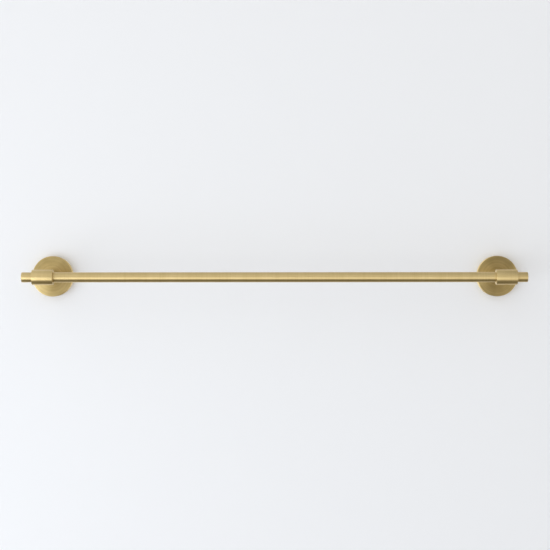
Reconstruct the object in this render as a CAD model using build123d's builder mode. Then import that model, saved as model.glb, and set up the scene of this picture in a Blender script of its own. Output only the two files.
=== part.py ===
from build123d import *
import os

# Wall-mounted towel rail. A solid round bar runs through two sleeve collars. Each collar stands on a
# coped post, and one long bolt from behind draws collar, post and cover plate together. The cover plate
# is a shallow cup that slips over a wall bracket and is locked to it by a grub screw in its rim.
# Frame: X along the bar, Y into the wall, Z up. The origin lies on the wall midway between the posts.

# Bar
post_spacing = 550.0
bar_overhang = 25.0
bar_diameter = 12.0
bar_end_chamfer = 0.5
bar_projection = 75.0

# Collars
collar_length = 25.0
collar_wall = 2.95
collar_edge_chamfer = 0.4
collar_bore_chamfer = 0.3

# Posts
post_diameter = 12.0
post_foot_chamfer = 0.3

# Cover plates
cover_diameter = 50.0
cover_depth = 8.0
cover_face = 2.5
cover_rim = 3.0
cover_edge_chamfer = 0.5
cover_corner_chamfer = 0.8

# Wall brackets
bracket_front_gap = 0.5
bracket_rim_gap = 0.3
bracket_eye_gap = 2.5
bracket_edge_chamfer = 0.4
groove_depth = 1.2
slot_travel = 4.4
slot_side_gap = 0.2

# Post bolts and their washers
bolt_diameter = 5.0
bolt_head_diameter = 9.5
bolt_head_height = 2.7
bolt_head_chamfer = 0.8
bolt_key = 3.0
bolt_key_depth = 1.6
bolt_tip_chamfer = 0.6
bolt_tip_gap = 0.4
washer_diameter = 10.0
washer_thickness = 1.0

# Grub screws
collar_grub_diameter = 4.0
collar_grub_key = 2.0
collar_grub_key_depth = 1.4
collar_grub_bite = 0.7
cover_grub_diameter = 3.0
cover_grub_key = 1.5
cover_grub_key_depth = 1.4
grub_tip_radius = 0.4
grub_sink = 0.3

# Wall screws
screw_reach = 35.0
screw_thread_diameter = 4.2
screw_neck_diameter = 3.0
screw_head_diameter = 8.0
screw_head_land = 0.3
screw_head_sink = 0.2
screw_point_length = 5.0
screw_point_radius = 0.2
cross_span = 4.6
cross_width = 1.1
cross_depth = 1.6

# Fits, each a gap on the radius or along a seat
slide_fit = 0.05
thread_fit = 0.05
bolt_hole_fit = 0.15
seat_fit = 0.03

# Sizes that follow
bar_length = post_spacing + 2 * bar_overhang
bar_radius = bar_diameter / 2
bore_radius = bar_radius + slide_fit
collar_radius = bore_radius + collar_wall
post_radius = post_diameter / 2
bolt_hole_radius = bolt_diameter / 2 + bolt_hole_fit
cover_radius = cover_diameter / 2
cavity_radius = cover_radius - cover_rim
cavity_depth = cover_depth - cover_face
bracket_thickness = cavity_depth - bracket_front_gap
bracket_radius = cavity_radius - bracket_rim_gap
eye_radius = washer_diameter / 2 + bracket_eye_gap
groove_root = bracket_radius - groove_depth
groove_height = bracket_thickness / 2
screw_offset = (eye_radius + groove_root) / 2
slot_width = screw_thread_diameter + 2 * slot_side_gap
slot_length = slot_width + slot_travel
countersink_depth = (screw_head_diameter - slot_width) / 2 + screw_head_sink + screw_head_land + seat_fit
bolt_seat = cavity_depth - washer_thickness
bolt_length = bar_projection - bore_radius - bolt_tip_gap - bolt_seat
collar_grub_length = collar_radius - grub_sink - bar_radius + collar_grub_bite
cover_grub_tip = groove_root + grub_tip_radius + seat_fit
cover_grub_length = cover_radius - grub_sink - cover_grub_tip

post_places = {"left": -post_spacing / 2, "right": post_spacing / 2}
screw_places = {"upper": screw_offset, "lower": -screw_offset}


def room_plane(x, distance, z=0.0):
    """Plane parallel to the wall, at a distance in front of it, facing the room."""
    return Plane(origin=(x, -distance, z), x_dir=(1, 0, 0), z_dir=(0, -1, 0))


def cross_plane(x):
    """Plane square to the bar, centred on the bar's axis."""
    return Plane(origin=(x, -bar_projection, 0), x_dir=(0, 1, 0), z_dir=(1, 0, 0))


def level_plane(x, distance, z):
    """Horizontal plane facing up, centred at a distance in front of the wall."""
    return Plane(origin=(x, -distance, z), x_dir=(1, 0, 0), z_dir=(0, 0, 1))


def turning_axis(x, z=0.0):
    """Axis square to the wall, about which the turned pieces are made."""
    return Axis((x, 0, z), (0, 1, 0))


os.makedirs("parts", exist_ok=True)

# Bar with a conical seat on its underside for each collar's grub screw
seat_depth = collar_grub_bite + seat_fit
with BuildPart() as bar:
    with BuildSketch(cross_plane(0)):
        Circle(bar_radius)
    extrude(amount=bar_length / 2, both=True)
    chamfer(bar.edges().filter_by(GeomType.CIRCLE), bar_end_chamfer)
    with Locations(*[(x, -bar_projection, -bar_radius) for x in post_places.values()]):
        Cone(
            grub_tip_radius + seat_depth,
            grub_tip_radius,
            seat_depth,
            align=(Align.CENTER, Align.CENTER, Align.MIN),
            mode=Mode.SUBTRACT,
        )
bar.part.label = "rail_bar"
export_step(bar.part, "parts/rail_bar.step")

# Collars: bored along the bar, tapped behind for the post bolt and below for the grub screw
for side, post_x in post_places.items():
    with BuildPart() as collar:
        with BuildSketch(cross_plane(post_x)):
            Circle(collar_radius)
            Circle(bore_radius, mode=Mode.SUBTRACT)
        extrude(amount=collar_length / 2, both=True)
        ring_edges = collar.edges().filter_by(GeomType.CIRCLE).group_by(SortBy.RADIUS)
        chamfer(ring_edges[-1], collar_edge_chamfer)
        chamfer(ring_edges[0], collar_bore_chamfer)
        with Locations(-room_plane(post_x, bar_projection - collar_radius)):
            Hole(bolt_diameter / 2 + thread_fit, depth=collar_radius)
        with Locations(-level_plane(post_x, bar_projection, -collar_radius)):
            Hole(collar_grub_diameter / 2 + thread_fit, depth=collar_radius)
    collar.part.label = f"collar_{side}"
    export_step(collar.part, f"parts/collar_{side}.step")

# Posts: coped at the front to saddle the collar, flat at the foot, drilled through for the bolt
for side, post_x in post_places.items():
    with BuildPart() as post:
        with BuildSketch(room_plane(post_x, cover_depth)):
            Circle(post_radius)
        extrude(amount=bar_projection - cover_depth)
        chamfer(post.edges().filter_by(GeomType.CIRCLE).sort_by(Axis.Y)[-1], post_foot_chamfer)
        with BuildSketch(cross_plane(post_x)):
            Circle(collar_radius + seat_fit)
        extrude(amount=post_diameter, both=True, mode=Mode.SUBTRACT)
        with Locations(room_plane(post_x, cover_depth)):
            Hole(bolt_hole_radius)
    post.part.label = f"post_{side}"
    export_step(post.part, f"parts/post_{side}.step")

# Cover plates: shallow cups, drilled in the middle, tapped through the bottom of the rim
for side, post_x in post_places.items():
    with BuildPart() as cover:
        with BuildSketch(room_plane(post_x, 0)):
            Circle(cover_radius)
        extrude(amount=cover_depth)
        chamfer(cover.edges().filter_by(GeomType.CIRCLE).sort_by(Axis.Y)[0], cover_edge_chamfer)
        with BuildSketch(room_plane(post_x, 0)):
            Circle(cavity_radius)
        extrude(amount=cavity_depth, mode=Mode.SUBTRACT)
        cavity_floor = cover.faces().filter_by(Axis.Y).sort_by(Axis.Y)[1]
        chamfer(cavity_floor.edges(), cover_corner_chamfer)
        with Locations(room_plane(post_x, cover_depth)):
            Hole(bolt_hole_radius)
        with Locations(-level_plane(post_x, groove_height, -cover_radius)):
            Hole(cover_grub_diameter / 2 + thread_fit, depth=cover_rim + cover_grub_diameter)
    cover.part.label = f"cover_plate_{side}"
    export_step(cover.part, f"parts/cover_plate_{side}.step")

# Wall brackets: turned discs with a V groove round the rim and two countersunk slots
for side, post_x in post_places.items():
    with BuildPart() as bracket:
        with BuildSketch(level_plane(post_x, 0, 0)):
            with BuildLine():
                Polyline(
                    (0, 0),
                    (bracket_radius, 0),
                    (bracket_radius, groove_depth - groove_height),
                    (groove_root, -groove_height),
                    (bracket_radius, -groove_depth - groove_height),
                    (bracket_radius, -bracket_thickness),
                    (0, -bracket_thickness),
                    close=True,
                )
            make_face()
        revolve(axis=turning_axis(post_x))
        chamfer(bracket.edges().filter_by(GeomType.CIRCLE).sort_by(Axis.Y)[0], bracket_edge_chamfer)
        with BuildSketch(room_plane(post_x, 0)):
            with Locations(*[(0, z) for z in screw_places.values()]):
                SlotOverall(slot_length, slot_width)
        extrude(amount=bracket_thickness, mode=Mode.SUBTRACT)
        front_face = bracket.faces().filter_by(Axis.Y).sort_by(Axis.Y)[0]
        chamfer(front_face.inner_wires().edges(), countersink_depth)
        with Locations(room_plane(post_x, bracket_thickness)):
            Hole(eye_radius)
    bracket.part.label = f"wall_bracket_{side}"
    export_step(bracket.part, f"parts/wall_bracket_{side}.step")

# Post bolts: low socket heads behind the cover plate, tips short of the bar
for side, post_x in post_places.items():
    with BuildPart() as bolt:
        with BuildSketch(room_plane(post_x, bolt_seat)):
            Circle(bolt_diameter / 2)
        extrude(amount=bolt_length)
        chamfer(bolt.edges().filter_by(GeomType.CIRCLE).sort_by(Axis.Y)[0], bolt_tip_chamfer)
        with BuildSketch(room_plane(post_x, bolt_seat - bolt_head_height)):
            Circle(bolt_head_diameter / 2)
        extrude(amount=bolt_head_height)
        chamfer(bolt.edges().filter_by(GeomType.CIRCLE).sort_by(Axis.Y)[-1], bolt_head_chamfer)
        with BuildSketch(room_plane(post_x, bolt_seat - bolt_head_height)):
            RegularPolygon(bolt_key / 2, 6, major_radius=False)
        extrude(amount=bolt_key_depth, mode=Mode.SUBTRACT)
    bolt.part.label = f"post_bolt_{side}"
    export_step(bolt.part, f"parts/post_bolt_{side}.step")

# Washers between the bolt heads and the cover plates
for side, post_x in post_places.items():
    with BuildPart() as washer:
        with BuildSketch(room_plane(post_x, bolt_seat)):
            Circle(washer_diameter / 2)
            Circle(bolt_hole_radius, mode=Mode.SUBTRACT)
        extrude(amount=washer_thickness)
    washer.part.label = f"post_washer_{side}"
    export_step(washer.part, f"parts/post_washer_{side}.step")

# Grub screws in the collars, cone point up into the bar's seat
for side, post_x in post_places.items():
    with BuildPart() as grub:
        with BuildSketch(level_plane(post_x, bar_projection, grub_sink - collar_radius)):
            Circle(collar_grub_diameter / 2)
        extrude(amount=collar_grub_length)
        point_edge = grub.edges().filter_by(GeomType.CIRCLE).sort_by(Axis.Z)[-1]
        chamfer(point_edge, collar_grub_diameter / 2 - grub_tip_radius)
        with BuildSketch(level_plane(post_x, bar_projection, grub_sink - collar_radius)):
            RegularPolygon(collar_grub_key / 2, 6, major_radius=False)
        extrude(amount=collar_grub_key_depth, mode=Mode.SUBTRACT)
    grub.part.label = f"collar_grub_screw_{side}"
    export_step(grub.part, f"parts/collar_grub_screw_{side}.step")

# Grub screws in the cover plates, cone point up into the bracket's groove
for side, post_x in post_places.items():
    with BuildPart() as grub:
        with BuildSketch(level_plane(post_x, groove_height, grub_sink - cover_radius)):
            Circle(cover_grub_diameter / 2)
        extrude(amount=cover_grub_length)
        point_edge = grub.edges().filter_by(GeomType.CIRCLE).sort_by(Axis.Z)[-1]
        chamfer(point_edge, cover_grub_diameter / 2 - grub_tip_radius)
        with BuildSketch(level_plane(post_x, groove_height, grub_sink - cover_radius)):
            RegularPolygon(cover_grub_key / 2, 6, major_radius=False)
        extrude(amount=cover_grub_key_depth, mode=Mode.SUBTRACT)
    grub.part.label = f"cover_grub_screw_{side}"
    export_step(grub.part, f"parts/cover_grub_screw_{side}.step")

# Wall screws: countersunk cross heads, thinner necks in the slots, thread envelopes behind the wall plane
head_front = screw_head_sink - bracket_thickness
head_radius = screw_head_diameter / 2
neck_radius = screw_neck_diameter / 2
thread_radius = screw_thread_diameter / 2
head_back = head_front + screw_head_land + head_radius - neck_radius
for side, post_x in post_places.items():
    for level, screw_z in screw_places.items():
        with BuildPart() as screw:
            with BuildSketch(level_plane(post_x, 0, screw_z)):
                with BuildLine():
                    Polyline(
                        (0, head_front),
                        (head_radius, head_front),
                        (head_radius, head_front + screw_head_land),
                        (neck_radius, head_back),
                        (neck_radius, 0),
                        (thread_radius, 0),
                        (thread_radius, screw_reach - screw_point_length),
                        (screw_point_radius, screw_reach),
                        (0, screw_reach),
                        close=True,
                    )
                make_face()
            revolve(axis=turning_axis(post_x, screw_z))
            with BuildSketch(room_plane(post_x, -head_front, screw_z)):
                Rectangle(cross_span, cross_width)
                Rectangle(cross_width, cross_span)
            extrude(amount=-cross_depth, mode=Mode.SUBTRACT)
        screw.part.label = f"wall_screw_{side}_{level}"
        export_step(screw.part, f"parts/wall_screw_{side}_{level}.step")
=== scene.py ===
"""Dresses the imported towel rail: brushed brass bar, collars, posts and plates over hidden wall brackets."""
import logging
import math
from dataclasses import dataclass
from enum import Enum

import bmesh
import bpy
from mathutils import Matrix, Vector


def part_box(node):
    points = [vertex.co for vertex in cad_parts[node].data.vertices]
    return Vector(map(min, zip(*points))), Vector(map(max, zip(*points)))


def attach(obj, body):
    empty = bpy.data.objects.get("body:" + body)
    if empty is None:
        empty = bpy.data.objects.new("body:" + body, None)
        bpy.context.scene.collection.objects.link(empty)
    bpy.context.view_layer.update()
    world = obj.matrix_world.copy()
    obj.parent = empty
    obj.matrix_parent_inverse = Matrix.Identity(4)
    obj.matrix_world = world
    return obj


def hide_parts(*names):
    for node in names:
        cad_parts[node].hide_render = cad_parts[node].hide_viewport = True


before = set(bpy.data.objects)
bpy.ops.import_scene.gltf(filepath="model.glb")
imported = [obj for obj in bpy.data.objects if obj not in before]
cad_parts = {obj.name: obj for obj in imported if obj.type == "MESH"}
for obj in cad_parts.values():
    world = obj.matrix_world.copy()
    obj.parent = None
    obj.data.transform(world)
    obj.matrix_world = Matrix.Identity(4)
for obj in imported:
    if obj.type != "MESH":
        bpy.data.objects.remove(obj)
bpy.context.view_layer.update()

LOG = logging.getLogger("towel_rail")
MM = 0.001
BODY = "root"
GRAIN_MAP = "grain"
SIDES = ("left", "right")
LEVELS = ("upper", "lower")
PHOTO_PIXELS = 550
AXIS_X = Vector((1.0, 0.0, 0.0))
AXIS_Y = Vector((0.0, 1.0, 0.0))
AXIS_Z = Vector((0.0, 0.0, 1.0))
QUARTER_TURN = math.pi / 2
# Vertices closer than this become one.
WELD = 0.0005 * MM
# How far a vertex may lie from the place, or the skin, where it is looked for.
NEAR = 0.001 * MM
NEAR_SKIN = 0.01 * MM
# A drilled skin has edges at these steps from the drill's line, in rows of one size.
ROW_STEPS = (-2, -1, 0, 1, 2)
# A face counts as an end face, or as quite flat, where its normal's share along the axis is above this.
END_FACE = 0.8
FLAT_FACE = 0.99
# Edges sharper than this are shaded as edges.
SHARP_ANGLE = math.radians(32)


class Slot(Enum):
    """The record's material slots, handed to each new piece's builder but not applied by this script."""

    BRASS = "brushed_brass"
    STEEL = "steel_fixings"


def linear(colour: str) -> tuple[float, float, float, float]:
    """Turns an sRGB hex colour into linear light.

    Args:
        colour: Six hex digits after a hash sign.

    Returns:
        Linear red, green, blue and an alpha of one.
    """
    shares = [int(colour[start:start + 2], 16) / 255 for start in (1, 3, 5)]
    light = [s / 12.92 if s <= 0.04045 else ((s + 0.055) / 1.055) ** 2.4 for s in shares]
    return light[0], light[1], light[2], 1.0


def add_node(
    tree: bpy.types.NodeTree, kind: str, inputs: dict | None = None, **settings: object
) -> bpy.types.Node:
    """Adds a node to a tree with its settings and links.

    Args:
        tree: The node tree that takes the node.
        kind: Blender's type name for the node.
        inputs: Input names or numbers, each with a value or the output socket to link.
        **settings: Properties of the node itself.

    Returns:
        The new node.
    """
    node = tree.nodes.new(kind)
    for name, value in settings.items():
        setattr(node, name, value)
    for name, value in (inputs or {}).items():
        if isinstance(value, bpy.types.NodeSocket):
            tree.links.new(value, node.inputs[name])
        else:
            node.inputs[name].default_value = value
    return node


def new_material(name: str) -> tuple[bpy.types.Material, bpy.types.NodeTree]:
    """Makes an empty node material.

    Args:
        name: The material's name.

    Returns:
        The material and its node tree.
    """
    material = bpy.data.materials.new(name)
    material.use_nodes = True
    material.node_tree.nodes.clear()
    return material, material.node_tree


def new_object(bm: bmesh.types.BMesh, name: str, *materials: bpy.types.Material) -> bpy.types.Object:
    """Turns a mesh into an object of the scene.

    Args:
        bm: The finished mesh, which is freed.
        name: The object's name.
        *materials: Its finishes, in the order of the faces' material numbers.

    Returns:
        The new object, which sits at the origin.
    """
    mesh = bpy.data.meshes.new(name)
    bm.to_mesh(mesh)
    bm.free()
    for material in materials:
        mesh.materials.append(material)
    thing = bpy.data.objects.new(name, mesh)
    bpy.context.scene.collection.objects.link(thing)
    return thing


def verts_in(geometry: list) -> list[bmesh.types.BMVert]:
    """Picks the vertices out of what an operator made.

    Args:
        geometry: The operator's vertices, edges and faces.

    Returns:
        The vertices alone.
    """
    return [part for part in geometry if isinstance(part, bmesh.types.BMVert)]


def open_edges_in(geometry: list) -> list[bmesh.types.BMEdge]:
    """Picks the edges that have a face on one side only out of what an operator made.

    Args:
        geometry: The operator's vertices, edges and faces.

    Returns:
        The open edges alone.
    """
    return [part for part in geometry if isinstance(part, bmesh.types.BMEdge) and part.is_boundary]


def ring_out(point: Vector, centre: Vector, axis: Vector) -> Vector:
    """Gives the vector from a turning axis straight out to a point.

    Args:
        point: The point.
        centre: Any point on the axis.
        axis: The axis as a unit vector.

    Returns:
        The part of the offset that is square to the axis.
    """
    offset = point - centre
    return offset - axis * offset.dot(axis)


def turn(bm: bmesh.types.BMesh, outline: list[Vector], centre: Vector, axis: Vector, steps: int) -> None:
    """Turns a closed outline once round an axis, as on a lathe.

    Args:
        bm: The mesh that takes the turned shape.
        outline: Corners of the section in order.
        centre: A point on the axis.
        axis: The axis as a unit vector.
        steps: Number of steps in the full turn.
    """
    corners = [bm.verts.new(point) for point in outline]
    edges = [bm.edges.new((corners[i - 1], corners[i])) for i in range(len(corners))]
    bmesh.ops.spin(
        bm, geom=corners + edges, cent=centre, axis=axis, angle=math.tau, steps=steps, use_merge=True
    )


def soften(bm: bmesh.types.BMesh, edges: list[bmesh.types.BMEdge], width: float, segments: int) -> None:
    """Rounds chosen edges.

    Args:
        bm: The mesh.
        edges: The sharp edges.
        width: How far the rounding reaches from the edge.
        segments: Number of steps across the rounding.
    """
    bmesh.ops.bevel(
        bm, geom=edges, offset=width, offset_type="OFFSET", affect="EDGES",
        segments=segments, profile=0.5, material=-1,
    )


def hoop_edges(
    bm: bmesh.types.BMesh, centre: Vector, axis: Vector, radius: float, along: float
) -> list[bmesh.types.BMEdge]:
    """Finds the edges that run round a turned piece at one place.

    Args:
        bm: The mesh.
        centre: A point on the axis, from which along is measured.
        axis: The axis as a unit vector.
        radius: The hoop's radius.
        along: The hoop's place along the axis.

    Returns:
        Edges with both ends on that hoop.
    """

    def on_hoop(vert: bmesh.types.BMVert) -> bool:
        """Tells if a vertex lies on the hoop."""
        level = (vert.co - centre).dot(axis)
        return abs(level - along) < NEAR and abs(ring_out(vert.co, centre, axis).length - radius) < NEAR

    return [edge for edge in bm.edges if all(on_hoop(vert) for vert in edge.verts)]


@dataclass(frozen=True)
class Drill:
    """A line along which a turned piece is drilled, square to the piece's axis.

    Where the drill enters, the piece's mesh has rows of small faces, evenly spaced along the axis and
    round it.

    Attributes:
        centre: Where the drill's line meets the piece's axis.
        axis: The piece's axis as a unit vector.
        inward: The way that the drill moves, as a unit vector.
        row: Spacing of the faces along the axis.
        steps: Number of faces round the piece.
    """

    centre: Vector
    axis: Vector
    inward: Vector
    row: float
    steps: int

    def open_rim(self, bm: bmesh.types.BMesh, skin: float, radius: float) -> list[bmesh.types.BMEdge]:
        """Opens a round rim in one skin of the piece.

        Args:
            bm: The mesh.
            skin: Radius of the turned skin.
            radius: Radius of the hole.

        Returns:
            The edges round the opening, moved onto the hole's outline.
        """
        across = self.axis.cross(self.inward)
        face_sizes = (self.row, math.tau * skin / self.steps)
        along_reach, across_reach = (round(radius / size) * size for size in face_sizes)

        def in_block(face: bmesh.types.BMFace) -> bool:
            """Tells if a face belongs to the block that the hole opens.

            Args:
                face: A face of the mesh.

            Returns:
                True for a face of this skin, on the drill's side and within reach of its line.
            """
            offset = face.calc_center_median() - self.centre
            radii = [ring_out(vert.co, self.centre, self.axis).length for vert in face.verts]
            on_skin = max(abs(reach - skin) for reach in radii) < NEAR_SKIN
            beside = abs(offset.dot(self.axis)) < along_reach and abs(offset.dot(across)) < across_reach
            return on_skin and beside and offset.dot(self.inward) < 0

        block = [face for face in bm.faces if in_block(face)]
        rim = [
            edge for face in block for edge in face.edges
            if sum(neighbour in block for neighbour in edge.link_faces) == 1
        ]
        bmesh.ops.delete(bm, geom=block, context="FACES")
        for vert in {vert for edge in rim for vert in edge.verts}:
            offset = vert.co - self.centre
            angle = math.atan2(offset.dot(across), offset.dot(self.axis))
            side = radius * math.sin(angle)
            out = math.sqrt(skin * skin - side * side)
            vert.co = self.centre + self.axis * radius * math.cos(angle) + across * side - self.inward * out
        return rim

    def bore_through(self, bm: bmesh.types.BMesh, outer: float, inner: float, radius: float) -> None:
        """Drills a hole from the outer skin of a tube to its inner skin.

        Args:
            bm: The mesh.
            outer: Radius of the outer skin.
            inner: Radius of the inner skin.
            radius: Radius of the hole.
        """
        rims = self.open_rim(bm, outer, radius) + self.open_rim(bm, inner, radius)
        bmesh.ops.bridge_loops(bm, edges=rims)

    def sink_seat(
        self, bm: bmesh.types.BMesh, skin: float, mouth: float, floor: float, depth: float
    ) -> None:
        """Sinks a conical seat for a screw's point.

        Args:
            bm: The mesh.
            skin: Radius of the turned skin.
            mouth: Radius of the seat at the skin.
            floor: Radius of its flat floor.
            depth: How far the floor lies inside the skin.
        """
        rim = self.open_rim(bm, skin, mouth)
        cone = bmesh.ops.extrude_edge_only(bm, edges=rim)["geom"]
        for vert in verts_in(cone):
            out = ring_out(vert.co, self.centre, self.inward).normalized()
            vert.co = self.centre - self.inward * (skin - depth) + out * floor
        bmesh.ops.edgeloop_fill(bm, edges=open_edges_in(cone))


def lay_grain(
    bm: bmesh.types.BMesh, centre: Vector, axis: Vector,
    sawn: frozenset[bmesh.types.BMFace] = frozenset(),
) -> None:
    """Lays the map that carries the scratch direction: U runs square across the scratches, V along them.

    Args:
        bm: The mesh.
        centre: A point on the turning axis.
        axis: The turning axis as a unit vector.
        sawn: Flat ends whose scratches run straight from front to back, not round the axis.
    """
    layer = bm.loops.layers.uv.new(GRAIN_MAP)
    first = axis.orthogonal().normalized()
    second = axis.cross(first)
    for face in bm.faces:
        middle = ring_out(face.calc_center_median(), centre, axis)
        start = math.atan2(middle.dot(second), middle.dot(first))
        end_face = abs(face.normal.dot(axis)) > END_FACE
        for loop in face.loops:
            point = loop.vert.co
            if face in sawn:
                loop[layer].uv = (point.z / MM, point.y / MM)
                continue
            out = ring_out(point, centre, axis)
            angle = math.atan2(out.dot(second), out.dot(first))
            angle = start + math.remainder(angle - start, math.tau)
            reach = out.length if end_face else (point - centre).dot(axis)
            loop[layer].uv = (reach / MM, angle * max(middle.length, MM) / MM)


def finish_piece(
    bm: bmesh.types.BMesh, name: str, node: str, slot: Slot, *materials: bpy.types.Material
) -> bpy.types.Object:
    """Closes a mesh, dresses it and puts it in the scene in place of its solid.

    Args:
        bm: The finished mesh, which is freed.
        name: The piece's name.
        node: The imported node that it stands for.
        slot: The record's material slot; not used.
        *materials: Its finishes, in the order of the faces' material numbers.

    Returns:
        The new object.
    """
    bmesh.ops.remove_doubles(bm, verts=bm.verts[:], dist=WELD)
    bmesh.ops.recalc_face_normals(bm, faces=bm.faces[:])
    for face in bm.faces:
        face.smooth = True
    for edge in bm.edges:
        edge.smooth = not (len(edge.link_faces) == 2 and edge.calc_face_angle() > SHARP_ANGLE)
    piece = new_object(bm, name, *materials)
    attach(piece, BODY)
    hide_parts(node)
    return piece


@dataclass(frozen=True)
class BrushedBrass:
    """Solid brass, satin brushed with a fine abrasive as it turns and left bare.

    The abrasive leaves long fine scratches, so a highlight is smeared square across them and stays crisp
    along them. The colour is a pale greenish gold, a little deeper where the scratches lie thick.
    """

    name: str
    pale: str = "#E3CB94"
    deep: str = "#D9C088"
    roughness: tuple[float, float] = (0.38, 0.41)
    anisotropy: float = 0.92
    # Real scratches are about 0.05 mm wide: drawn coarser here, in two widths, so that they show.
    fine_width: float = 0.45 * MM
    broad_width: float = 1.6 * MM
    scratch_length: float = 55 * MM
    scratch_depth: float = 0.003 * MM
    scratch_detail: float = 2.0
    cloud_width: float = 14 * MM
    cloud_detail: float = 1.0
    # Two noises added together lie mostly between these values.
    noise_span: tuple[float, float] = (0.6, 1.4)

    def streaks(
        self,
        tree: bpy.types.NodeTree,
        place: bpy.types.NodeSocket,
        across: bpy.types.NodeSocket,
        width: float,
    ) -> bpy.types.Node:
        """Adds one layer of scratches.

        Args:
            tree: The material's nodes.
            place: The Object coordinates.
            across: The distance across the scratches in millimetres, from the grain map.
            width: Width of a scratch.

        Returns:
            The noise node, drawn out along the scratches.
        """
        slow = add_node(tree, "ShaderNodeMapping", {
            "Vector": place, "Scale": [1 / self.scratch_length] * 3,
        })
        quick = add_node(tree, "ShaderNodeMath", {0: across, 1: MM / width}, operation="MULTIPLY")
        sideways = add_node(tree, "ShaderNodeCombineXYZ", {"X": quick.outputs[0]})
        drawn = add_node(
            tree, "ShaderNodeVectorMath", {0: slow.outputs[0], 1: sideways.outputs[0]}, operation="ADD"
        )
        return add_node(tree, "ShaderNodeTexNoise", {
            "Vector": drawn.outputs[0], "Scale": 1.0, "Detail": self.scratch_detail,
        })

    def material(self) -> bpy.types.Material:
        """Builds the finish.

        Returns:
            The brass material.
        """
        material, tree = new_material(self.name)
        place = add_node(tree, "ShaderNodeTexCoord").outputs["Object"]
        grain = add_node(tree, "ShaderNodeUVMap", uv_map=GRAIN_MAP)
        across = add_node(tree, "ShaderNodeSeparateXYZ", {0: grain.outputs["UV"]}).outputs["X"]
        fine = self.streaks(tree, place, across, self.fine_width)
        broad = self.streaks(tree, place, across, self.broad_width)
        cloud = add_node(tree, "ShaderNodeTexNoise", {
            "Vector": place, "Scale": 1 / self.cloud_width, "Detail": self.cloud_detail,
        })
        mixed = add_node(tree, "ShaderNodeMath", {0: fine.outputs[0], 1: broad.outputs[0]}, operation="ADD")
        tone = add_node(tree, "ShaderNodeMath", {0: broad.outputs[0], 1: cloud.outputs[0]}, operation="ADD")
        lowest, highest = self.noise_span
        share = add_node(tree, "ShaderNodeMapRange", {
            "Value": tone.outputs[0], "From Min": lowest, "From Max": highest,
        })
        colour = add_node(tree, "ShaderNodeValToRGB", {"Fac": share.outputs[0]})
        for element, shade in zip(colour.color_ramp.elements, (self.deep, self.pale)):
            element.color = linear(shade)
        rough = add_node(tree, "ShaderNodeMapRange", {
            "Value": mixed.outputs[0], "From Min": lowest, "From Max": highest,
            "To Min": self.roughness[0], "To Max": self.roughness[1],
        })
        bump = add_node(tree, "ShaderNodeBump", {
            "Height": mixed.outputs[0], "Distance": self.scratch_depth, "Strength": 1.0,
        })
        tangent = add_node(tree, "ShaderNodeTangent", direction_type="UV_MAP", uv_map=GRAIN_MAP)
        shader = add_node(tree, "ShaderNodeBsdfPrincipled", {
            "Base Color": colour.outputs["Color"], "Metallic": 1.0, "Roughness": rough.outputs[0],
            "Anisotropic": self.anisotropy, "Tangent": tangent.outputs["Tangent"],
            "Normal": bump.outputs["Normal"],
        })
        add_node(tree, "ShaderNodeOutputMaterial", {"Surface": shader.outputs["BSDF"]})
        return material


@dataclass(frozen=True)
class PlainMetal:
    """A workaday metal for the brackets and fixings.

    Blotches of slightly different tone and roughness, with a faint pitted skin, keep it from looking like
    paint.
    """

    name: str
    pale: str
    deep: str
    roughness: tuple[float, float]
    blotch_width: float
    pit_width: float
    pit_depth: float
    blotch_detail: float = 3.0
    pit_detail: float = 2.0
    # The blotches' noise lies mostly between these values.
    noise_span: tuple[float, float] = (0.3, 0.7)

    def material(self) -> bpy.types.Material:
        """Builds the finish.

        Returns:
            The metal material.
        """
        material, tree = new_material(self.name)
        place = add_node(tree, "ShaderNodeTexCoord").outputs["Object"]
        blotch = add_node(tree, "ShaderNodeTexNoise", {
            "Vector": place, "Scale": 1 / self.blotch_width, "Detail": self.blotch_detail,
        })
        pits = add_node(tree, "ShaderNodeTexNoise", {
            "Vector": place, "Scale": 1 / self.pit_width, "Detail": self.pit_detail,
        })
        colour = add_node(tree, "ShaderNodeValToRGB", {"Fac": blotch.outputs[0]})
        for element, position, shade in zip(
            colour.color_ramp.elements, self.noise_span, (self.deep, self.pale)
        ):
            element.position = position
            element.color = linear(shade)
        rough = add_node(tree, "ShaderNodeMapRange", {
            "Value": blotch.outputs[0], "From Min": self.noise_span[0], "From Max": self.noise_span[1],
            "To Min": self.roughness[0], "To Max": self.roughness[1],
        })
        bump = add_node(tree, "ShaderNodeBump", {
            "Height": pits.outputs[0], "Distance": self.pit_depth, "Strength": 1.0,
        })
        shader = add_node(tree, "ShaderNodeBsdfPrincipled", {
            "Base Color": colour.outputs["Color"], "Metallic": 1.0, "Roughness": rough.outputs[0],
            "Normal": bump.outputs["Normal"],
        })
        add_node(tree, "ShaderNodeOutputMaterial", {"Surface": shader.outputs["BSDF"]})
        return material


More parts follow.
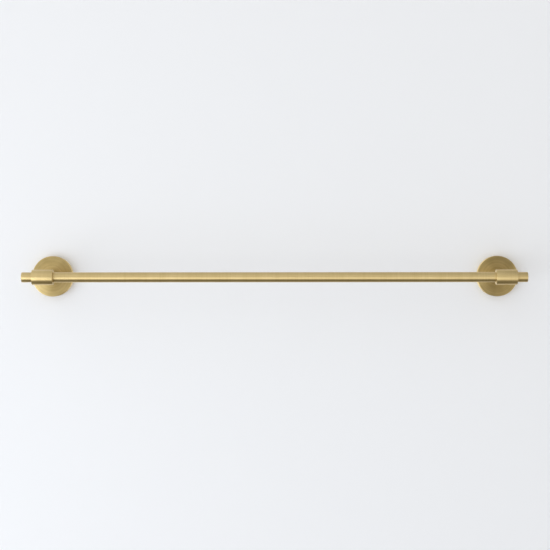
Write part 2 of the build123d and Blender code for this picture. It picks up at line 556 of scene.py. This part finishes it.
@dataclass
class RailBar:
    """The round bar, sawn square and broken at its edges, with a seat below for each grub screw."""

    node: str = "rail_bar"
    end_break: float = 0.5 * MM
    end_segments: int = 3
    seat_mouth: float = 1.13 * MM
    seat_floor: float = 0.4 * MM
    seat_depth: float = 0.73 * MM
    row: float = 0.55 * MM
    steps: int = 128
    lengths: int = 60

    def build(self, brass: bpy.types.Material) -> bpy.types.Object:
        """Models the bar and dresses it.

        Args:
            brass: The finish that runs round the bar.

        Returns:
            The bar's object.
        """
        low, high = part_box(self.node)
        centre = Vector((low.x, (low.y + high.y) / 2, 0.0))
        radius = (high.y - low.y) / 2
        length = high.x - low.x
        bm = bmesh.new()
        lie_along = Matrix.Translation(centre) @ Matrix.Rotation(QUARTER_TURN, 4, "Y")
        bmesh.ops.create_circle(bm, cap_ends=True, radius=radius, segments=self.steps, matrix=lie_along)
        grown = bmesh.ops.extrude_face_region(bm, geom=bm.faces[:])["geom"]
        bmesh.ops.translate(bm, verts=verts_in(grown), vec=AXIS_X * length)
        ends = [edge for face in bm.faces if abs(face.normal.x) > END_FACE for edge in face.edges]
        soften(bm, ends, self.end_break, self.end_segments)
        runs = [edge for edge in bm.edges if edge.calc_length() > length / 2]
        bmesh.ops.subdivide_edges(bm, edges=runs, cuts=self.lengths - 1, use_grid_fill=True)
        for side in SIDES:
            post_low, post_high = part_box(f"post_{side}")
            place = Vector(((post_low.x + post_high.x) / 2, centre.y, 0.0))
            for step in ROW_STEPS:
                everything = bm.verts[:] + bm.edges[:] + bm.faces[:]
                cut = place + AXIS_X * step * self.row
                bmesh.ops.bisect_plane(bm, geom=everything, plane_co=cut, plane_no=AXIS_X, dist=WELD)
            drill = Drill(place, AXIS_X, AXIS_Z, self.row, self.steps)
            drill.sink_seat(bm, radius, self.seat_mouth, self.seat_floor, self.seat_depth)
        bm.normal_update()
        sawn = frozenset(face for face in bm.faces if abs(face.normal.x) > FLAT_FACE)
        lay_grain(bm, centre, AXIS_X, sawn)
        return finish_piece(bm, "round_bar", self.node, Slot.BRASS, brass)


@dataclass
class Collar:
    """A sleeve that the bar passes through, with a grub screw hole below and a bolt hole behind."""

    side: str
    bore_gap: float = 0.05 * MM
    edge_break: float = 0.2 * MM
    edge_segments: int = 3
    bore_break: float = 0.6 * MM
    bore_segments: int = 2
    grub_hole: float = 2.05 * MM
    bolt_hole: float = 2.55 * MM
    row: float = 1.15 * MM
    steps: int = 72

    def build(self, ring_brass: bpy.types.Material, round_brass: bpy.types.Material) -> bpy.types.Object:
        """Models the collar and dresses it.

        Args:
            ring_brass: The ring-brushed finish of the flat ends, in a darker brass that is painted shade.
            round_brass: The finish that runs round the collar.

        Returns:
            The collar's object.
        """
        node = f"collar_{self.side}"
        low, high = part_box(node)
        bar_low, bar_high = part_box("rail_bar")
        centre = Vector(((low.x + high.x) / 2, (bar_low.y + bar_high.y) / 2, 0.0))
        skin = -low.z
        bore = (bar_high.y - bar_low.y) / 2 + self.bore_gap
        half = (high.x - low.x) / 2
        rows = [-half] + [step * self.row for step in ROW_STEPS] + [half]
        outline = [centre + AXIS_X * along - AXIS_Z * skin for along in rows]
        outline += [centre + AXIS_X * along - AXIS_Z * bore for along in reversed(rows)]
        bm = bmesh.new()
        turn(bm, outline, centre, AXIS_X, self.steps)
        for end in (-half, half):
            soften(bm, hoop_edges(bm, centre, AXIS_X, skin, end), self.edge_break, self.edge_segments)
            soften(bm, hoop_edges(bm, centre, AXIS_X, bore, end), self.bore_break, self.bore_segments)
        Drill(centre, AXIS_X, AXIS_Z, self.row, self.steps).bore_through(bm, skin, bore, self.grub_hole)
        Drill(centre, AXIS_X, -AXIS_Y, self.row, self.steps).bore_through(bm, skin, bore, self.bolt_hole)
        bmesh.ops.recalc_face_normals(bm, faces=bm.faces[:])
        lay_grain(bm, centre, AXIS_X)
        for face in bm.faces:
            # The flat ends take the darker ring brass: painted shade on the ends.
            face.material_index = 0 if abs(face.normal.x) > END_FACE else 1
        return finish_piece(
            bm, f"sleeve_collar_{self.side}", node, Slot.BRASS, ring_brass, round_brass
        )


@dataclass
class Post:
    """A short round post, coped at the front to saddle the collar."""

    side: str
    bolt_hole: float = 2.65 * MM
    seat_gap: float = 0.03 * MM
    foot_break: float = 0.3 * MM
    foot_segments: int = 2
    steps: int = 96
    cope_rings: int = 5

    def build(self, brass: bpy.types.Material) -> bpy.types.Object:
        """Models the post and dresses it.

        Args:
            brass: The finish that runs round the post.

        Returns:
            The post's object.
        """
        node = f"post_{self.side}"
        low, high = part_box(node)
        collar_low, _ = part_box(f"collar_{self.side}")
        bar_low, bar_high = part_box("rail_bar")
        bar_y = (bar_low.y + bar_high.y) / 2
        saddle = -collar_low.z + self.seat_gap
        centre = Vector(((low.x + high.x) / 2, high.y, 0.0))
        radius = (high.x - low.x) / 2
        tip = low.y - centre.y
        outline = [centre + AXIS_X * self.bolt_hole, centre + AXIS_X * radius]
        for ring in range(self.cope_rings + 1):
            reach = radius + (self.bolt_hole - radius) * ring / self.cope_rings
            outline.append(centre + AXIS_X * reach + AXIS_Y * tip)
        bm = bmesh.new()
        turn(bm, outline, centre, AXIS_Y, self.steps)
        soften(bm, hoop_edges(bm, centre, AXIS_Y, radius, 0.0), self.foot_break, self.foot_segments)
        for vert in bm.verts:
            if abs(vert.co.y - low.y) < NEAR:
                vert.co.y = bar_y + math.sqrt(saddle ** 2 - vert.co.z ** 2)
        bm.normal_update()
        lay_grain(bm, centre, AXIS_Y)
        return finish_piece(bm, f"coped_post_{self.side}", node, Slot.BRASS, brass)


@dataclass
class CoverPlate:
    """A shallow turned cup over the wall bracket, with a grub screw hole in the bottom of its rim."""

    side: str
    face: float = 2.5 * MM
    face_rings: int = 8
    rim: float = 3.0 * MM
    front_break: float = 0.5 * MM
    front_segments: int = 4
    rear_break: float = 0.15 * MM
    rear_segments: int = 2
    corner: float = 0.8 * MM
    bolt_hole: float = 2.65 * MM
    grub_hole: float = 1.55 * MM
    grub_place: float = 2.5 * MM
    row: float = 0.82 * MM
    steps: int = 192

    def build(self, ring_brass: bpy.types.Material, round_brass: bpy.types.Material) -> bpy.types.Object:
        """Models the plate and dresses it.

        Args:
            ring_brass: The ring-brushed finish of the flat front, in a darker brass that is painted shade.
            round_brass: The finish that runs round the rim.

        Returns:
            The plate's object.
        """
        node = f"cover_plate_{self.side}"
        low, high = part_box(node)
        centre = Vector(((low.x + high.x) / 2, high.y, 0.0))
        radius = (high.x - low.x) / 2
        front = low.y - high.y
        rows = [-self.grub_place + step * self.row for step in ROW_STEPS] + [0.0]
        inside = radius - self.rim
        floor = front + self.face
        step = (radius - self.bolt_hole) / self.face_rings
        section = [(self.bolt_hole + step * ring, front) for ring in range(self.face_rings)]
        section += [(radius, along) for along in [front] + rows]
        section += [(inside, along) for along in reversed(rows)]
        section += [(inside, floor + self.corner), (inside - self.corner, floor), (self.bolt_hole, floor)]
        bm = bmesh.new()
        outline = [centre + AXIS_X * reach + AXIS_Y * along for reach, along in section]
        turn(bm, outline, centre, AXIS_Y, self.steps)
        soften(bm, hoop_edges(bm, centre, AXIS_Y, radius, front), self.front_break, self.front_segments)
        for skin in (radius, inside):
            soften(bm, hoop_edges(bm, centre, AXIS_Y, skin, 0.0), self.rear_break, self.rear_segments)
        drill = Drill(centre - AXIS_Y * self.grub_place, AXIS_Y, AXIS_Z, self.row, self.steps)
        drill.bore_through(bm, radius, inside, self.grub_hole)
        bmesh.ops.recalc_face_normals(bm, faces=bm.faces[:])
        lay_grain(bm, centre, AXIS_Y)
        for face in bm.faces:
            # The flat front takes the darker ring brass: painted shade on the front.
            face.material_index = 0 if face.normal.y < -FLAT_FACE else 1
        return finish_piece(bm, f"cover_cup_{self.side}", node, Slot.BRASS, ring_brass, round_brass)


@dataclass
class WallScrew:
    """A countersunk cross-head screw with a rolled thread and a gimlet point."""

    side: str
    level: str
    core: float = 1.45 * MM
    crest: float = 2.08 * MM
    neck: float = 1.5 * MM
    neck_gap: float = 0.05 * MM
    head: float = 4.0 * MM
    head_land: float = 0.3 * MM
    pitch: float = 1.8 * MM
    # Where the flat root ends and where the crest starts and ends, as shares of the pitch.
    root_share: float = 0.5
    crest_shares: tuple[float, float] = (0.72, 0.78)
    turns: int = 19
    run_out: float = 1.5 * MM
    taper_start: float = 27.0 * MM
    point_share: float = 0.1
    steps: int = 36
    cross_arms: int = 4
    cross_span: float = 4.6 * MM
    cross_width: float = 1.1 * MM
    cross_depth: float = 1.6 * MM
    cross_floor: float = 0.55

    def next_ring(
        self,
        bm: bmesh.types.BMesh,
        edges: list[bmesh.types.BMEdge],
        centre: Vector,
        radius: float,
        along: float,
    ) -> list[bmesh.types.BMEdge]:
        """Carries a loop of edges on to the next ring of the screw.

        Args:
            bm: The mesh.
            edges: The open loop.
            centre: Where the screw's axis crosses the wall.
            radius: The next ring's radius.
            along: The next ring's place along the axis.

        Returns:
            The edges of the next ring.
        """
        grown = bmesh.ops.extrude_edge_only(bm, edges=edges)["geom"]
        for vert in verts_in(grown):
            out = ring_out(vert.co, centre, AXIS_Y).normalized()
            vert.co = centre + AXIS_Y * along + out * radius
        bmesh.ops.remove_doubles(bm, verts=bm.verts[:], dist=WELD)
        return hoop_edges(bm, centre, AXIS_Y, radius, along)

    def roll_thread(self, bm: bmesh.types.BMesh, centre: Vector) -> None:
        """Winds the thread, which rises out of the core at one end and sinks back into it at the other.

        Args:
            bm: The empty mesh.
            centre: Where the screw's axis crosses the wall.
        """
        crest_start, crest_end = self.crest_shares
        # One pitch of the thread: a flat root, a rising flank, a narrow crest and a falling flank.
        pitch_line = [
            (self.core, 0.0), (self.core, self.root_share),
            (self.crest, crest_start), (self.crest, crest_end), (self.core, 1.0),
        ]
        verts = [bm.verts.new(centre + AXIS_X * r + AXIS_Y * share * self.pitch) for r, share in pitch_line]
        edges = [bm.edges.new(pair) for pair in zip(verts, verts[1:])]
        wound = self.turns - 1
        last_line = bmesh.ops.spin(
            bm, geom=verts + edges, cent=centre, axis=AXIS_Y, dvec=AXIS_Y * self.pitch / self.steps,
            angle=math.tau * wound, steps=self.steps * wound,
        )["geom_last"]
        ends = sorted(verts_in(last_line), key=lambda vert: vert.co.y)
        welds = {vert: verts[-1] for vert in verts[1:-1]} | {vert: ends[0] for vert in ends[1:-1]}
        bmesh.ops.weld_verts(bm, targetmap=welds)
        bmesh.ops.remove_doubles(bm, verts=bm.verts[:], dist=WELD)
        first = self.pitch * crest_start
        last = self.pitch * (wound + crest_end)
        for vert in bm.verts:
            rise = min(max(min(vert.co.y - first, last - vert.co.y) / self.run_out, 0.0), 1.0)
            out = ring_out(vert.co, centre, AXIS_Y)
            if out.length > (self.core + self.crest) / 2:
                radius = self.core + (self.crest - self.core) * rise
                vert.co = centre + AXIS_Y * vert.co.y + out.normalized() * radius

    def draw_point(self, bm: bmesh.types.BMesh, centre: Vector, tip: float) -> None:
        """Tapers the end of the shank to a gimlet point and closes it.

        Args:
            bm: The mesh, open at the tip.
            centre: Where the screw's axis crosses the wall.
            tip: The tip's place along the axis.
        """
        taper = tip - self.taper_start
        for vert in bm.verts:
            past = vert.co.y - self.taper_start
            if past > 0:
                out = ring_out(vert.co, centre, AXIS_Y)
                vert.co = centre + AXIS_Y * vert.co.y + out * (1 - (1 - self.point_share) * past / taper)
        open_tip = [edge for edge in bm.edges if edge.is_boundary and edge.verts[0].co.y > self.taper_start]
        bmesh.ops.edgeloop_fill(bm, edges=open_tip)

    def cut_cross(
        self, bm: bmesh.types.BMesh, rim: list[bmesh.types.BMEdge], centre: Vector, front: float
    ) -> None:
        """Closes the head with a cross recess.

        Args:
            bm: The mesh.
            rim: The edges round the open front of the head.
            centre: Where the screw's axis crosses the wall.
            front: The head's front along the axis.
        """
        span, width = self.cross_span / 2, self.cross_width / 2
        arm = [(span, -width), (span, width), (width, width)]
        corners = []
        for count in range(self.cross_arms):
            spin = Matrix.Rotation(count * math.tau / self.cross_arms, 4, "Y")
            corners += [centre + AXIS_Y * front + spin @ Vector((x, 0.0, -z)) for x, z in arm]
        verts = [bm.verts.new(point) for point in corners]
        cross = [bm.edges.new((verts[i - 1], verts[i])) for i in range(len(verts))]
        bmesh.ops.triangle_fill(bm, use_beauty=True, edges=rim + cross)
        wall = bmesh.ops.extrude_edge_only(bm, edges=cross)["geom"]
        floor_centre = centre + AXIS_Y * (front + self.cross_depth)
        for vert in verts_in(wall):
            vert.co = floor_centre + ring_out(vert.co, centre, AXIS_Y) * self.cross_floor
        bmesh.ops.edgeloop_fill(bm, edges=open_edges_in(wall))

    def build(self, steel: bpy.types.Material) -> bpy.types.Object:
        """Models the screw and dresses it.

        Args:
            steel: The screw's finish.

        Returns:
            The screw's object.
        """
        node = f"wall_screw_{self.side}_{self.level}"
        low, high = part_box(node)
        centre = Vector(((low.x + high.x) / 2, 0.0, (low.z + high.z) / 2))
        bm = bmesh.new()
        self.roll_thread(bm, centre)
        thread_end = self.pitch * self.turns
        open_edges = [edge for edge in bm.edges if edge.is_boundary]
        start = [edge for edge in open_edges if edge.verts[0].co.y < thread_end / 2]
        end = [edge for edge in open_edges if edge.verts[0].co.y >= thread_end / 2]
        end = self.next_ring(bm, end, centre, self.core, thread_end)
        self.next_ring(bm, end, centre, self.core, high.y)
        ring = self.next_ring(bm, start, centre, self.core, 0.0)
        self.draw_point(bm, centre, high.y)
        head_front = low.y + self.head_land
        head_back = head_front + self.head - self.neck
        head_line = [
            (self.neck, -self.neck_gap), (self.neck, head_back),
            (self.head, head_front), (self.head, low.y),
        ]
        for radius, along in head_line:
            ring = self.next_ring(bm, ring, centre, radius, along)
        self.cut_cross(bm, ring, centre, low.y)
        return finish_piece(bm, f"countersunk_screw_{self.side}_{self.level}", node, Slot.STEEL, steel)


@dataclass
class HiddenFixings:
    """The solids behind the plates and in the grub screw holes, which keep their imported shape."""

    side: str
    zinc_names: tuple[str, ...] = ("wall_bracket",)
    steel_names: tuple[str, ...] = ("post_bolt", "post_washer", "collar_grub_screw", "cover_grub_screw")

    def dress(self, zinc: bpy.types.Material, steel: bpy.types.Material) -> list[bpy.types.Object]:
        """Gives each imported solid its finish.

        Args:
            zinc: The bracket's finish.
            steel: The finish of bolts, washers and grub screws.

        Returns:
            The dressed objects.
        """
        dressed = []
        for names, finish in ((self.zinc_names, zinc), (self.steel_names, steel)):
            for name in names:
                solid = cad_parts[f"{name}_{self.side}"]
                for slot in solid.material_slots:
                    slot.material = finish
                dressed.append(solid)
        return dressed


@dataclass
class Studio:
    """A plain pale wall and floor, soft light from the left, a glowing grey card that shows only in the metal
    as a painted reflection, and the camera.
    """

    wall_gap: float = 0.3 * MM
    wall_half_width: float = 1.3
    wall_top: float = 0.9
    wall_colour: str = "#F4F4F6"
    opening: float = 23.5 * MM
    opening_steps: int = 64
    floor_level: float = -1.2
    floor_half: float = 4.0
    floor_colour: str = "#E4E5E7"
    # A glowing grey card beside the right end, seen only in the metal, puts a darker painted reflection on
    # the tops of collar and bar there.
    card_place: tuple[float, float, float] = (0.36, -0.15, 0.22)
    card_half_height: float = 0.18
    card_half_depth: float = 0.15
    card_colour: str = "#B0B0B0"
    window_place: tuple[float, float, float] = (-1.3, -1.0, -0.5)
    window_size: tuple[float, float] = (1.6, 1.1)
    window_power: float = 9.5
    window_colour: str = "#EDF5FF"
    # The room's light from straight down at 0 to straight up at 1.
    height_tones: tuple[tuple[float, str], ...] = (
        (0.0, "#6A675B"), (0.08, "#79756A"), (0.144, "#C5C4C0"), (0.21, "#F0F0EF"),
        (0.41, "#FCFEFF"), (0.58, "#E9E9E6"), (0.85, "#E3E4E6"), (1.0, "#CCCED0"),
    )
    # The room's light from the left at 0 to the right at 1.
    side_tones: tuple[tuple[float, str], ...] = (
        (0.0, "#FAFCFF"), (0.37, "#FCFDFF"), (0.42, "#E6E8EB"), (0.46, "#D2D2D2"), (0.5, "#C4C3C1"),
        (0.55, "#BAB8B4"), (0.6, "#C2BFBA"), (0.65, "#D6D3CD"), (0.7, "#E2DFD9"), (1.0, "#E2DFD9"),
    )
    room_strength: float = 1.43
    room_lean: float = math.radians(3.0)
    # The dark room behind the camera: within this cone round the view the light dims to the share given.
    camera_way: tuple[float, float, float] = (0.1, -0.995, 0.0)
    camera_cone: tuple[float, float] = (0.92, 0.99)
    camera_share: float = 0.48
    # What the camera sees past the wall and the floor.
    backdrop_colour: str = "#E9E8E6"
    camera_place: tuple[float, float, float] = (0.009, -1.65, 0.028)
    camera_aim: tuple[float, float, float] = (0.00073, -0.075, 0.0026)
    camera_roll: float = math.radians(0.045)
    camera_nearest: float = 0.01
    focal_pixels: float = 1328.3

    def build_wall(self) -> bpy.types.Object:
        """Makes the wall, open behind the plates and clear when seen from behind.

        Returns:
            The wall's object.
        """
        bm = bmesh.new()
        corners = [(-1, self.floor_level), (1, self.floor_level), (1, self.wall_top), (-1, self.wall_top)]
        verts = [bm.verts.new((side * self.wall_half_width, self.wall_gap, z)) for side, z in corners]
        edges = [bm.edges.new((verts[i - 1], verts[i])) for i in range(len(verts))]
        for side in SIDES:
            low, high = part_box(f"cover_plate_{side}")
            middle = Vector(((low.x + high.x) / 2, self.wall_gap, 0.0))
            facing_out = Matrix.Translation(middle) @ Matrix.Rotation(QUARTER_TURN, 4, "X")
            rim = bmesh.ops.create_circle(
                bm, radius=self.opening, segments=self.opening_steps, matrix=facing_out
            )["verts"]
            edges += list({edge for vert in rim for edge in vert.link_edges})
        bmesh.ops.triangle_fill(bm, use_beauty=True, edges=edges)
        for face in bm.faces:
            if face.normal.y > 0:
                face.normal_flip()
        material, tree = new_material("matt_wall_paint")
        paint = add_node(tree, "ShaderNodeBsdfDiffuse", {"Color": linear(self.wall_colour)})
        clear = add_node(tree, "ShaderNodeBsdfTransparent")
        behind = add_node(tree, "ShaderNodeNewGeometry").outputs["Backfacing"]
        mixed = add_node(tree, "ShaderNodeMixShader", {0: behind, 1: paint.outputs[0], 2: clear.outputs[0]})
        add_node(tree, "ShaderNodeOutputMaterial", {"Surface": mixed.outputs[0]})
        wall = new_object(bm, "studio_wall", material)
        # The metal mirrors the room's light in place of the wall.
        wall.visible_glossy = False
        return wall

    def build_floor(self) -> bpy.types.Object:
        """Makes the floor.

        Returns:
            The floor's object.
        """
        bm = bmesh.new()
        level = Matrix.Translation((0.0, 0.0, self.floor_level))
        bmesh.ops.create_grid(bm, x_segments=1, y_segments=1, size=self.floor_half, matrix=level)
        material, tree = new_material("matt_floor_paper")
        paper = add_node(tree, "ShaderNodeBsdfDiffuse", {"Color": linear(self.floor_colour)})
        add_node(tree, "ShaderNodeOutputMaterial", {"Surface": paper.outputs[0]})
        floor = new_object(bm, "studio_floor", material)
        # The metal mirrors the room's light in place of the floor.
        floor.visible_glossy = False
        return floor

    def build_card(self) -> bpy.types.Object:
        """Makes the glowing grey card to the right of the rail, which shows only in the metal as a darker
        painted reflection.

        Returns:
            The card's object.
        """
        bm = bmesh.new()
        upright = Matrix.Translation(self.card_place) @ Matrix.Rotation(QUARTER_TURN, 4, "Y")
        sized = upright @ Matrix.Diagonal((self.card_half_height, self.card_half_depth, 1.0, 1.0))
        bmesh.ops.create_grid(bm, x_segments=1, y_segments=1, size=1.0, matrix=sized)
        material, tree = new_material("glowing_card_for_painted_reflection")
        # The card glows at a grey tone: a painted reflection that darkens the metal where it shows.
        grey = add_node(tree, "ShaderNodeEmission", {"Color": linear(self.card_colour), "Strength": 1.0})
        add_node(tree, "ShaderNodeOutputMaterial", {"Surface": grey.outputs[0]})
        card = new_object(bm, "grey_card", material)
        card.visible_camera = False
        card.visible_diffuse = False
        card.visible_shadow = False
        return card

    def light_room(self) -> None:
        """Lights the room: brighter to the left, darker to the right and below."""
        world = bpy.data.worlds.new("soft_room")
        world.use_nodes = True
        tree = world.node_tree
        tree.nodes.clear()
        way = add_node(tree, "ShaderNodeTexCoord").outputs["Generated"]
        leant = add_node(tree, "ShaderNodeMapping", {"Vector": way, "Rotation": (self.room_lean, 0.0, 0.0)})
        parts = add_node(tree, "ShaderNodeSeparateXYZ", {0: leant.outputs[0]})
        ramps = []
        for axis, tones in (("Z", self.height_tones), ("X", self.side_tones)):
            share = add_node(tree, "ShaderNodeMapRange", {
                "Value": parts.outputs[axis], "From Min": -1.0, "From Max": 1.0,
            })
            ramp = add_node(tree, "ShaderNodeValToRGB", {"Fac": share.outputs[0]})
            stops = ramp.color_ramp.elements
            while len(stops) < len(tones):
                stops.new(1.0)
            for stop, (position, tone) in zip(stops, tones):
                stop.position = position
                stop.color = linear(tone)
            ramps.append(ramp.outputs[0])
        tint = add_node(tree, "ShaderNodeVectorMath", {0: ramps[0], 1: ramps[1]}, operation="MULTIPLY")
        nearness = add_node(
            tree, "ShaderNodeVectorMath", {0: way, 1: self.camera_way}, operation="DOT_PRODUCT"
        )
        level = add_node(tree, "ShaderNodeMapRange", {
            "Value": nearness.outputs["Value"],
            "From Min": self.camera_cone[0], "From Max": self.camera_cone[1],
            "To Min": self.room_strength, "To Max": self.room_strength * self.camera_share,
        })
        room = add_node(tree, "ShaderNodeBackground", {
            "Color": tint.outputs[0], "Strength": level.outputs[0],
        })
        plain = add_node(tree, "ShaderNodeBackground", {
            "Color": linear(self.backdrop_colour), "Strength": 1.0,
        })
        seen = add_node(tree, "ShaderNodeLightPath").outputs["Is Camera Ray"]
        mixed = add_node(tree, "ShaderNodeMixShader", {0: seen, 1: room.outputs[0], 2: plain.outputs[0]})
        add_node(tree, "ShaderNodeOutputWorld", {"Surface": mixed.outputs[0]})
        bpy.context.scene.world = world

    def open_window(self) -> None:
        """Adds the soft window light, low on the left and aimed at the rail."""
        light = bpy.data.lights.new("window_light", "AREA")
        light.shape = "RECTANGLE"
        light.size, light.size_y = self.window_size
        light.energy = self.window_power
        light.color = linear(self.window_colour)[:3]
        lamp = bpy.data.objects.new("window_light", light)
        lamp.location = self.window_place
        lamp.rotation_euler = (-lamp.location).to_track_quat("-Z", "Y").to_euler()
        bpy.context.scene.collection.objects.link(lamp)

    def place_camera(self) -> None:
        """Puts the camera where the photograph was taken from."""
        data = bpy.data.cameras.new("photo_camera")
        data.lens = self.focal_pixels * data.sensor_width / PHOTO_PIXELS
        data.clip_start = self.camera_nearest
        camera = bpy.data.objects.new("photo_camera", data)
        camera.location = self.camera_place
        look = (Vector(self.camera_aim) - camera.location).to_track_quat("-Z", "Y").to_matrix()
        camera.rotation_euler = (look @ Matrix.Rotation(-self.camera_roll, 3, "Z")).to_euler()
        bpy.context.scene.collection.objects.link(camera)
        bpy.context.scene.camera = camera

    def set_up(self) -> None:
        """Builds the whole studio."""
        for backdrop in (self.build_wall(), self.build_floor(), self.build_card()):
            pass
        self.light_room()
        self.open_window()
        self.place_camera()
        bpy.context.scene.view_settings.view_transform = "Standard"


def main() -> None:
    """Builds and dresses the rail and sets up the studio."""
    logging.basicConfig(level=logging.INFO, format="%(name)s: %(message)s")
    # Round the bar, collars, posts and rims: fine even scratches that give one soft bright band.
    round_brass = BrushedBrass("brass_brushed_round").material()
    # In rings on the flat faces: deeper scratches, so that the rings show, and a darker brass than round the
    # bar, which is painted shade for the dimmer light on the flat faces.
    ring_brass = BrushedBrass(
        "brass_in_rings_painted_darker", pale="#DAC38C", deep="#BAA46F", roughness=(0.30, 0.38), anisotropy=0.8,
        broad_width=1.9 * MM, scratch_depth=0.006 * MM,
    ).material()
    # Rolled zinc-plated steel: dull blue grey with cloudy patches.
    zinc = PlainMetal(
        "zinc_plated_steel", pale="#C9CCCF", deep="#A9ADB2", roughness=(0.38, 0.52),
        blotch_width=6 * MM, pit_width=0.5 * MM, pit_depth=0.004 * MM,
    ).material()
    # Plain stainless steel, as turned and rolled: brighter and smoother than the zinc.
    steel = PlainMetal(
        "stainless_steel_rolled", pale="#CFCDC8", deep="#B7B4AE", roughness=(0.24, 0.34),
        blotch_width=3 * MM, pit_width=0.3 * MM, pit_depth=0.002 * MM,
    ).material()
    pieces = [RailBar().build(round_brass)]
    for side in SIDES:
        pieces.append(Collar(side).build(ring_brass, round_brass))
        pieces.append(Post(side).build(round_brass))
        pieces.append(CoverPlate(side).build(ring_brass, round_brass))
        pieces += [WallScrew(side, level).build(steel) for level in LEVELS]
        pieces += HiddenFixings(side).dress(zinc, steel)
    for piece in pieces:
        LOG.info("%s has %d faces", piece.name, len(piece.data.polygons))
    Studio().set_up()


if __name__ == "__main__":
    main()
